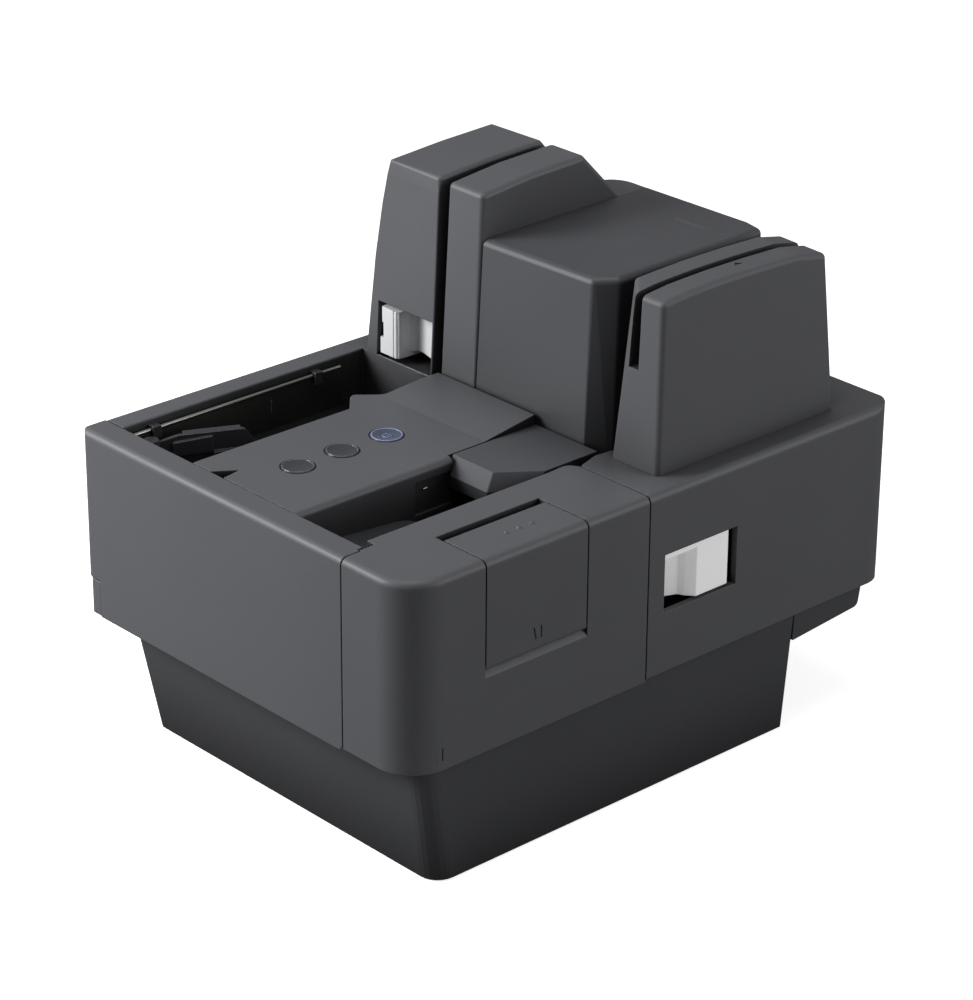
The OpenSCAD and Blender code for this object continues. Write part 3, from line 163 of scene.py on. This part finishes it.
def moulded_abs(name, colour, grain_mm=0.45, roughness=0.5, bump=0.12, edge_mm=0.6, drift=0.05,
                specular=0.45, shade=0.2, edge_highlight=1.35, glow=0.0):
    """Spark-grained ABS: grain_mm is drawn coarser than the real 0.15 mm so that it shows."""
    material, tree, output = blank(name)
    base = linear(colour)
    place = add(tree, "ShaderNodeTexCoord")
    grain = add(tree, "ShaderNodeTexNoise",
                {"Scale": MM_PER_METRE / grain_mm, "Detail": 3.0, "Roughness": 0.6},
                {"Vector": place.outputs["Object"]})
    cloud = add(tree, "ShaderNodeTexNoise", {"Scale": CLOUDS_PER_METRE, "Detail": 3.0, "Roughness": 0.55},
                {"Vector": place.outputs["Object"]})
    tint = add(tree, "ShaderNodeMix", {"A": scaled(base, 1 - drift), "B": scaled(base, 1 + drift)},
               {"Factor": cloud.outputs["Fac"]}, data_type="RGBA")
    speck = add(tree, "ShaderNodeMapRange",
                {"From Min": GRAIN_LOW, "From Max": GRAIN_HIGH,
                 "To Min": 1 - GRAIN_CONTRAST, "To Max": 1 + GRAIN_CONTRAST},
                {"Value": grain.outputs["Fac"]})
    # painted shade: the colour darkens in deep corners
    depth = painted_corner_shade(tree, shade)
    edge = add(tree, "ShaderNodeBevel", {"Radius": edge_mm / MM_PER_METRE}, samples=4)
    face = add(tree, "ShaderNodeNewGeometry")
    agree = add(tree, "ShaderNodeVectorMath", {}, {0: edge.outputs["Normal"], 1: face.outputs["Normal"]},
                operation="DOT_PRODUCT")
    # painted edge highlight: the colour is lighter where the bevel bends the normal
    painted_edge_highlight = add(tree, "ShaderNodeMapRange",
                 {"From Min": 1.0, "From Max": EDGE_HIGHLIGHT_FROM, "To Min": 1.0, "To Max": edge_highlight},
                 {"Value": agree.outputs["Value"]})
    grain_and_painted_shade = add(tree, "ShaderNodeMath", {}, {0: speck.outputs["Result"], 1: depth.outputs["Result"]},
                operation="MULTIPLY")
    amount = add(tree, "ShaderNodeMath", {}, {0: grain_and_painted_shade.outputs["Value"], 1: painted_edge_highlight.outputs["Result"]},
                 operation="MULTIPLY")
    coloured = add(tree, "ShaderNodeVectorMath", {},
                   {0: tint.outputs["Result"], "Scale": amount.outputs["Value"]}, operation="SCALE")
    rough = add(tree, "ShaderNodeMapRange",
                {"To Min": roughness - ROUGHNESS_DRIFT, "To Max": roughness + ROUGHNESS_DRIFT},
                {"Value": cloud.outputs["Fac"]})
    relief = add(tree, "ShaderNodeBump", {"Strength": bump, "Distance": RELIEF},
                 {"Height": grain.outputs["Fac"], "Normal": edge.outputs["Normal"]})
    shader = add(tree, "ShaderNodeBsdfPrincipled",
                 {"Metallic": 0.0, "IOR": ABS_IOR, "Specular IOR Level": specular,
                  "Emission Color": base, "Emission Strength": glow},
                 {"Base Color": coloured.outputs["Vector"], "Roughness": rough.outputs["Result"],
                  "Normal": relief.outputs["Normal"]})
    tree.links.new(shader.outputs["BSDF"], output.inputs["Surface"])
    return material


housing_abs = moulded_abs("spark grained ABS housing", "#5b5c60")
# the lid and the hood are drawn darker than the housing: painted shade
block_abs_painted_shade = moulded_abs("spark grained ABS lid", "#4d4e52")
tower_abs = moulded_abs("spark grained ABS tower", "#5b5c60", roughness=0.58)
hood_abs_painted_shade = moulded_abs("spark grained ABS hood", "#515257", roughness=0.62, specular=0.3)
base_abs = moulded_abs("spark grained ABS base", "#47484c", roughness=0.55)
print("grained finishes:", len(bpy.data.materials))

# %% [markdown]
# Parts that paper or fingers slide over come from polished moulds. The same function makes them,
# with a coarser and shallower grain and a lower roughness, so that their highlights are tighter.
# The milky lever and the rear button glow faintly, which stands for the light that such plastic
# lets through.

# %% Smooth plastics
track_abs = moulded_abs("satin ABS track", "#1e1f21", grain_mm=0.8, roughness=0.4, bump=0.05)
slide_abs = moulded_abs("polished ABS slide", "#4a4c50", grain_mm=0.8, roughness=0.3, bump=0.03, shade=0.5)
# the grey of this glossy black is a painted reflection and its strongly lightened edges a painted edge
# highlight
black_abs = moulded_abs("glossy black ABS", "#3a3a3e", grain_mm=0.8, roughness=0.2, bump=0.03,
                        shade=1.0, edge_highlight=3.0)
button_abs = moulded_abs("satin ABS button", "#3f4044", grain_mm=0.8, roughness=0.3, bump=0.04, shade=0.8)
collar_abs = moulded_abs("glossy ABS bead", "#606166", grain_mm=1.0, roughness=0.18, bump=0.02,
                         shade=0.7, specular=0.8)
lit_abs = moulded_abs("blue grey ABS button", "#464d5e", grain_mm=0.8, roughness=0.38, bump=0.03,
                      shade=0.8, glow=0.12)
lever_abs = moulded_abs("satin white ABS lever", "#e2e3e5", grain_mm=0.8, roughness=0.4, bump=0.05,
                        drift=0.02, shade=0.85, edge_highlight=1.05)
milky_abs = moulded_abs("milky white ABS lever", "#f2f2f2", grain_mm=0.8, roughness=0.35, bump=0.05,
                        drift=0.02, shade=0.7, edge_highlight=1.05, glow=0.25)
pinch_pom = moulded_abs("acetal pinch roller", "#d8d8d4", grain_mm=1.0, roughness=0.35, bump=0.03,
                        drift=0.02)
cartridge_pp = moulded_abs("polypropylene cartridge", "#22262c", grain_mm=0.8, roughness=0.4, bump=0.04)
print("moulded finishes:", len(bpy.data.materials))

# %% [markdown]
# Rubber is ground on the rollers and moulded on the feet and belts, the boards wear green solder
# resist, and the sensors look through black windows. The same function makes all of them, because
# only the size and depth of the grain, the roughness and the colour differ.

# %% Rubber, boards and windows
roller_rubber = moulded_abs("ground EPDM roller", "#26262a", grain_mm=0.3, roughness=0.75, bump=0.25)
foot_rubber = moulded_abs("soft rubber foot", "#1b1b1d", grain_mm=0.4, roughness=0.85, bump=0.2)
board_resist = moulded_abs("green solder resist", "#1f4d2b", grain_mm=1.2, roughness=0.3, bump=0.02)
sensor_glass = moulded_abs("black sensor window", "#141518", grain_mm=2.0, roughness=0.12, bump=0.0)
print("finishes so far:", len(bpy.data.materials))

# %% [markdown]
# The guide that the cheques lean on is rolled stainless sheet, the pins are ground steel, the ports
# have a nickel plated shell and the motors a turned zinc one. What the eye sees of rolled, ground
# and turned metal is fine lines that pull the highlight out sideways, so a noise pattern is
# stretched along them. The plated shell has no lines and keeps an even pattern.

# %% Metals
LINE_ROUGHNESS = 0.08
LINE_BUMP = 0.08


def rolled_steel(name, colour, roughness, along=(1.0, 1.0, 1.0), line_mm=0.5, shade=0.5):
    """Rolled or turned metal: its lines are 0.05 mm apart in life and drawn at line_mm, so that they
    show, and a small number in along draws them out that way."""
    material, tree, output = blank(name)
    place = add(tree, "ShaderNodeTexCoord")
    stretch = add(tree, "ShaderNodeMapping", {"Scale": along}, {"Vector": place.outputs["Object"]})
    lines = add(tree, "ShaderNodeTexNoise", {"Scale": MM_PER_METRE / line_mm, "Detail": 2.0},
                {"Vector": stretch.outputs["Vector"]})
    rough = add(tree, "ShaderNodeMapRange",
                {"To Min": roughness - LINE_ROUGHNESS, "To Max": roughness + LINE_ROUGHNESS},
                {"Value": lines.outputs["Fac"]})
    relief = add(tree, "ShaderNodeBump", {"Strength": LINE_BUMP, "Distance": RELIEF},
                 {"Height": lines.outputs["Fac"]})
    # painted shade: the metal's colour darkens in deep corners
    tone = add(tree, "ShaderNodeVectorMath", {0: linear(colour)[:3]},
               {"Scale": painted_corner_shade(tree, shade).outputs["Result"]}, operation="SCALE")
    shader = add(tree, "ShaderNodeBsdfPrincipled", {"Metallic": 1.0},
                 {"Base Color": tone.outputs["Vector"], "Roughness": rough.outputs["Result"],
                  "Normal": relief.outputs["Normal"]})
    tree.links.new(shader.outputs["BSDF"], output.inputs["Surface"])
    return material


guide_steel = rolled_steel("rolled stainless guide", "#c4c3bd", 0.35, along=(1.0, 0.04, 1.0), shade=0.3)
pin_steel = rolled_steel("ground steel pin", "#b8bcc0", 0.25, along=(1.0, 1.0, 0.05))
port_metal = rolled_steel("nickel plated shell", "#a9adb2", 0.3)
motor_metal = rolled_steel("turned zinc motor", "#8d9094", 0.45, along=(1.0, 1.0, 0.1))
print("finishes with the metals:", len(bpy.data.materials))

# %% [markdown]
# The rear button is lit from below. A lamp inside the model would cost many samples, so the clear
# pieces over it shine by themselves, just strongly enough to look lit in daylight.

# %% Lit plastics
CLEAR_ROUGHNESS = 0.25


def lit_plastic(name, colour, glow, strength):
    """Clear blue plastic with a lamp behind it."""
    material, tree, output = blank(name)
    shader = add(tree, "ShaderNodeBsdfPrincipled",
                 {"Base Color": linear(colour), "Roughness": CLEAR_ROUGHNESS,
                  "Emission Color": linear(glow), "Emission Strength": strength})
    tree.links.new(shader.outputs["BSDF"], output.inputs["Surface"])
    return material


blue_lit = lit_plastic("blue lit acrylic", "#363d52", "#5f72b4", 0.14)
pale_lit = lit_plastic("pale lit symbol", "#7c86a2", "#aab8e6", 0.16)
print("finishes in all:", len(bpy.data.materials))

# %% [markdown]
# The imported record names a material slot for each solid, after its plastic or metal. One table
# turns a slot into its finish, so that a solid gets the right one by what it is made of. A second,
# short table is for the solids that differ from their slot: the lid of the block and the hood are
# drawn darker than the housing as painted shade, the right tower has a duller surface, the lever of
# the right cover is of a milkier white, the slide in the pocket is polished, and light seeps through
# the rear button.

# %% Each solid gets its finish
FINISH = {
    "dark_grey_plastic": housing_abs, "base_plastic": base_abs, "track_plastic": track_abs,
    "black_plastic": black_abs, "white_plastic": lever_abs, "button_plastic": button_abs,
    "pinch_plastic": pinch_pom, "cartridge_plastic": cartridge_pp, "foot_rubber": foot_rubber,
    "roller_rubber": roller_rubber, "belt_rubber": foot_rubber, "guide_steel": guide_steel,
    "pin_steel": pin_steel, "port_metal": port_metal, "motor_metal": motor_metal,
    "circuit_board": board_resist, "sensor_black": sensor_glass, "blue_light": blue_lit,
}
SPECIAL = {
    "centre_block": block_abs_painted_shade, "exit_hood": hood_abs_painted_shade, "right_tower": tower_abs,
    "right_lever": milky_abs, "power_button": lit_abs, "pocket_floor": slide_abs,
}
slot_of = {s["node"]: s["material_slot"] for s in frame["record"]["subparts"]}
for name, solid in nodes.items():
    solid.data.materials.clear()
    solid.data.materials.append(SPECIAL.get(name, FINISH[slot_of[name]]))
print("dressed", len(nodes), "solids")

# %% [markdown]
# A few details are too fine for a solid of their own. They are turned from a profile, as on a
# lathe, or drawn as round strokes along a line of points. Both are mesh or curve data made in
# code, so they stay exact, and each piece rides on the body that carries it.

# %% Turned rings and drawn strokes
TURN_STEPS = 72
RING_STEPS = 16
STROKE_ROUNDNESS = 4

details = []


def hang(piece, body, finish):
    """Gives a new piece its finish, puts it in the scene and ties it to its body."""
    piece.data.materials.append(finish)
    bpy.context.scene.collection.objects.link(piece)
    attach(piece, body)
    details.append(piece.name)


def ring(radius, thick, height):
    """The round section of a ring, as (radius, height) points in millimetres."""
    turns = [2 * math.pi * k / RING_STEPS for k in range(RING_STEPS)]
    return [(radius + thick / 2 * math.cos(a), height + thick / 2 * math.sin(a)) for a in turns]


def lathe(name, profile, centre, body, finish):
    """A closed profile of (radius, height) in millimetres, turned about an upright axis at centre."""
    shape = bmesh.new()
    rows = []
    for k in range(TURN_STEPS):
        a = 2 * math.pi * k / TURN_STEPS
        spots = [(r * math.cos(a), r * math.sin(a), h) for r, h in profile]
        rows.append([shape.verts.new([v / MM_PER_METRE for v in spot]) for spot in spots])
    for k, here in enumerate(rows):
        there = rows[(k + 1) % TURN_STEPS]
        for i in range(len(profile)):
            j = (i + 1) % len(profile)
            shape.faces.new((here[i], there[i], there[j], here[j]))
    bmesh.ops.recalc_face_normals(shape, faces=shape.faces)
    bmesh.ops.translate(shape, vec=[v / MM_PER_METRE for v in centre], verts=shape.verts)
    mesh = bpy.data.meshes.new(name)
    shape.to_mesh(mesh)
    shape.free()
    for face in mesh.polygons:
        face.use_smooth = True
    hang(bpy.data.objects.new(name, mesh), body, finish)


def stroke(name, lines, thick, body, finish):
    """Round strokes along lines of points in millimetres, thick across."""
    data = bpy.data.curves.new(name, "CURVE")
    data.dimensions = "3D"
    data.bevel_depth = thick / 2 / MM_PER_METRE
    data.bevel_resolution = STROKE_ROUNDNESS
    data.use_fill_caps = True
    for points in lines:
        spline = data.splines.new("POLY")
        spline.points.add(len(points) - 1)
        for spot, point in zip(spline.points, points):
            spot.co = [v / MM_PER_METRE for v in point] + [1]
    hang(bpy.data.objects.new(name, data), body, finish)


print("a ring has", TURN_STEPS * RING_STEPS, "faces")

# %% [markdown]
# Each button sits in a dark ring, which stays with the housing and is painted shade in the gap
# around the button, and ends in a thin glossy bead, which goes down with the button. On the rear
# button the bead is lit. RIM is the height of the housing's rim and the numbers by the buttons are
# their middles, in the CAD model's millimetres.

# %% Shade rings and beads of the buttons
RIM = 138.5
BUTTONS = {"front_button": (-13.5, -95.3), "middle_button": (-13.6, -71.7), "power_button": (-13.5, -47.6)}
# a dark ring sunk in the gap around each button: painted shade
GAP_SHADE_RING = ring(radius=7.3, thick=0.5, height=-0.2)
BEAD = ring(radius=6.4, thick=0.55, height=0.17)

for name, (x, y) in BUTTONS.items():
    lathe(name + "_gap_shade", GAP_SHADE_RING, (x, y, RIM), "chassis", track_abs)
    if name == "power_button":
        lathe(name + "_bead", BEAD, (x, y, RIM), name + "_body", pale_lit)
    else:
        lathe(name + "_bead", BEAD, (x, y, RIM), name + "_body", collar_abs)
print("rings:", details)

# %% [markdown]
# The rear button carries the usual on and off symbol: a circle that is open at the top, and a short
# bar through the gap. Two strokes give it, with real thickness, so it also shows from the side.

# %% Symbol on the rear button
SYMBOL_RADIUS = 1.8
SYMBOL_THICK = 0.36
SYMBOL_STEPS = 24
SYMBOL_Z = RIM - 0.27
HALF_GAP = 0.7
BAR_FROM, BAR_TO = 0.4, 2.3

x, y = BUTTONS["power_button"]
sweep = 2 * math.pi - 2 * HALF_GAP
turns = [HALF_GAP + k * sweep / SYMBOL_STEPS for k in range(SYMBOL_STEPS + 1)]
arc = [(x + SYMBOL_RADIUS * math.sin(a), y + SYMBOL_RADIUS * math.cos(a), SYMBOL_Z) for a in turns]
bar = [(x, y + BAR_FROM, SYMBOL_Z), (x, y + BAR_TO, SYMBOL_Z)]
stroke("on_off_symbol", [arc, bar], SYMBOL_THICK, "power_button_body", pale_lit)
print("symbol", 2 * SYMBOL_RADIUS, "mm across")

# %% [markdown]
# Inside the pocket a small bright catch holds the hood. Along the ledge of the left cover runs a thin
# glossy bead, lighter than the housing, which is a painted highlight on the ledge's edge. The guide
# plate carries a short upright mark that shows how high a stack may stand. All three are single
# strokes, a line of three points each.

# %% Catch, highlight on the ledge and height mark
CATCH = [(21.0, -58.2, RIM - 9.6), (21.2, -57, RIM - 9.4), (21.0, -55.4, RIM - 9.6)]
LIP_Y = 7.0
LIP_HIGHLIGHT = [(x, LIP_Y, RIM - 0.1) for x in (-81.5, -66.0, -48.0)]
MARK_Y = -47.5
MARK = [(-89.45, MARK_Y, RIM - 15), (-89.4, MARK_Y, RIM - 12), (-89.45, MARK_Y, RIM - 9)]

stroke("hood_catch", [CATCH], thick=0.9, body="chassis", finish=port_metal)
# a glossy light bead along the ledge's edge: a painted highlight
stroke("ledge_painted_highlight", [LIP_HIGHLIGHT], thick=0.5, body="left_cover_body", finish=collar_abs)
stroke("height_mark", [MARK], thick=0.7, body="chassis", finish=collar_abs)
print("details:", details)

# %% [markdown]
# The studio starts with a floor. The camera sees it as white, with the object's shadow on it, but
# to every other ray it is a dim grey, so that it throws only a little light back up.

# %% Floor
FLOOR_SIDE = 8.0
PAPER_SEEN = (0.9, 0.9, 0.9, 1)
PAPER_FOR_LIGHT = (0.25, 0.25, 0.25, 1)
WHITE = (1, 1, 1, 1)


def pale_floor():
    """A floor that is white to the camera and keeps the object's shadow."""
    material, tree, output = blank("pale paper sweep")
    path = add(tree, "ShaderNodeLightPath")
    paper = add(tree, "ShaderNodeBsdfDiffuse", {"Color": PAPER_SEEN})
    white = add(tree, "ShaderNodeEmission", {"Color": WHITE, "Strength": 0.75})
    seen = add(tree, "ShaderNodeAddShader", {}, {0: paper.outputs["BSDF"], 1: white.outputs["Emission"]})
    dim = add(tree, "ShaderNodeBsdfDiffuse", {"Color": PAPER_FOR_LIGHT})
    pick = add(tree, "ShaderNodeMixShader", {},
               {"Fac": path.outputs["Is Camera Ray"], 1: dim.outputs["BSDF"], 2: seen.outputs["Shader"]})
    tree.links.new(pick.outputs["Shader"], output.inputs["Surface"])
    return material


bpy.ops.mesh.primitive_plane_add(size=FLOOR_SIDE, location=(0, 0, 0))
floor = bpy.context.active_object
floor.name = "paper_floor"
floor.data.materials.append(pale_floor())
print("floor", FLOOR_SIDE, "m square")

# %% [markdown]
# The world is an even grey that fills the shadows softly. The camera sees it as white behind the
# floor, by the same light path switch.

# %% World
WORLD_LIGHT, WORLD_SEEN = 0.17, 1.0

world = bpy.data.worlds.new("studio_world")
bpy.context.scene.world = world
world.use_nodes = True
sky = world.node_tree
sky.nodes.clear()
path = add(sky, "ShaderNodeLightPath")
amount = add(sky, "ShaderNodeMapRange", {"To Min": WORLD_LIGHT, "To Max": WORLD_SEEN},
             {"Value": path.outputs["Is Camera Ray"]})
glow = add(sky, "ShaderNodeBackground", {"Color": WHITE}, {"Strength": amount.outputs["Result"]})
add(sky, "ShaderNodeOutputWorld", {}, {"Surface": glow.outputs["Background"]})
print("world light", WORLD_LIGHT)

# %% [markdown]
# Three square softboxes light the object: one at the front left, with a grid that keeps its light
# together, one at the rear right, which lights the right side, and one overhead for the lids. Large
# lamps close by give the soft shadow edges of a product picture. Sizes and places are in metres,
# power in watts and spread in degrees.


# %% Lamps
def soft_lamp(name, place, target, size, power, spread=180):
    """A square softbox that looks at a point; its grid keeps the light within spread degrees."""
    data = bpy.data.lights.new(name, "AREA")
    data.shape = "SQUARE"
    data.size = size
    data.energy = power
    data.spread = math.radians(spread)
    lamp = bpy.data.objects.new(name, data)
    bpy.context.scene.collection.objects.link(lamp)
    lamp.location = place
    lamp.rotation_euler = (Vector(target) - Vector(place)).to_track_quat("-Z", "Y").to_euler()
    return lamp


lamps = [
    soft_lamp("key_softbox", place=(-0.56, -0.72, 0.55), target=(-0.13, -0.03, 0.15), size=0.45, power=4.7,
              spread=118),
    soft_lamp("rear_softbox", place=(1.1, 0.7, 0.55), target=(0, 0.05, 0.12), size=0.6, power=5.4),
    soft_lamp("overhead_softbox", place=(0.1, -0.05, 1.25), target=(0, 0, 0.15), size=0.6, power=3.6),
]
bpy.context.scene.view_settings.view_transform = "Standard"
print("lamps", [lamp.name for lamp in lamps])
